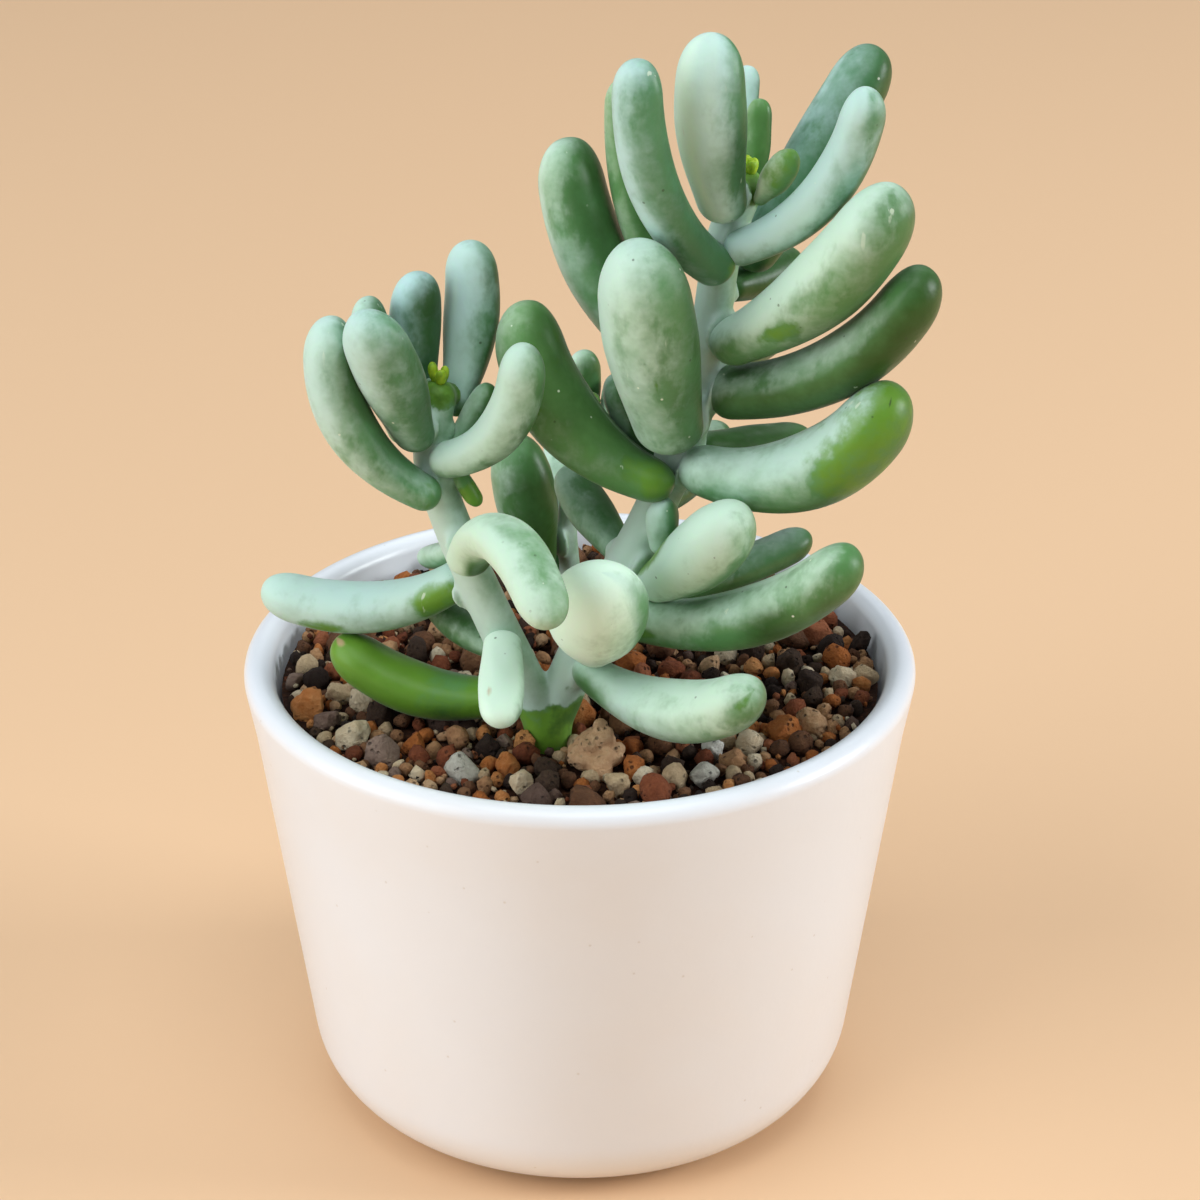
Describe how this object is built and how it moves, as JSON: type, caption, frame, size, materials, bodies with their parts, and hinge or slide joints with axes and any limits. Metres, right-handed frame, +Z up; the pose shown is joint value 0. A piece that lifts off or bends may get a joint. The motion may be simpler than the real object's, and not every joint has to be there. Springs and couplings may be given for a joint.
{
  "type": "potted sedum",
  "caption": "Plump-leaved succulent on forked stems, standing in gritty soil in a plain round white pot.",
  "frame": {"origin": "centre of the pot's underside, on the surface it stands on", "axes": "+Z up along the pot's axis and the longest way of the object; -Y towards the viewer; +X to the viewer's right, the side the tall stem leans to"},
  "size_m": [0.08, 0.08, 0.1368],
  "materials": {
    "pot": "smooth satin white glaze",
    "soil": "loose rough grit, matt",
    "stem": "smooth plant skin with a pale waxy bloom",
    "leaf": "smooth leaf skin with a blue-green waxy bloom, rubbed off in places",
    "fresh_leaf": "smooth bright green leaf skin, satin",
    "bud": "yellow-green young tissue, satin"
  },
  "bodies": {
    "root": {"back_leaf_01": "leaf", "back_leaf_02": "leaf", "back_leaf_03": "leaf", "back_leaf_04": "leaf", "back_leaf_05": "leaf", "back_stem": "stem", "forked_stem": "stem", "left_leaf_01": "leaf", "left_leaf_02": "leaf", "left_leaf_03": "leaf", "left_leaf_04": "leaf", "left_leaf_05": "leaf", "left_leaf_06": "leaf", "left_leaf_07": "leaf", "left_leaf_08": "leaf", "left_leaf_09": "leaf", "left_leaf_10": "leaf", "left_leaf_11": "leaf", "left_leaf_12": "fresh_leaf", "left_leaf_13": "leaf", "left_leaf_14": "fresh_leaf", "left_leaf_15": "leaf", "left_tip_buds": "bud", "pot": "pot", "soil": "soil", "tall_leaf_01": "leaf", "tall_leaf_02": "leaf", "tall_leaf_03": "leaf", "tall_leaf_04": "leaf", "tall_leaf_05": "leaf", "tall_leaf_06": "leaf", "tall_leaf_07": "leaf", "tall_leaf_08": "leaf", "tall_leaf_09": "leaf", "tall_leaf_10": "leaf", "tall_leaf_11": "leaf", "tall_leaf_12": "leaf", "tall_leaf_13": "leaf", "tall_leaf_14": "leaf", "tall_leaf_15": "leaf", "tall_leaf_16": "leaf", "tall_leaf_17": "leaf", "tall_leaf_18": "leaf", "tall_leaf_19": "leaf", "tall_leaf_20": "leaf", "tall_leaf_21": "leaf", "tall_leaf_22": "fresh_leaf", "tall_leaf_23": "fresh_leaf", "tall_leaf_24": "leaf", "tall_leaf_25": "leaf", "tall_leaf_26": "leaf", "tall_leaf_27": "leaf", "tall_tip_buds": "bud"}
  },
  "joints": []
}
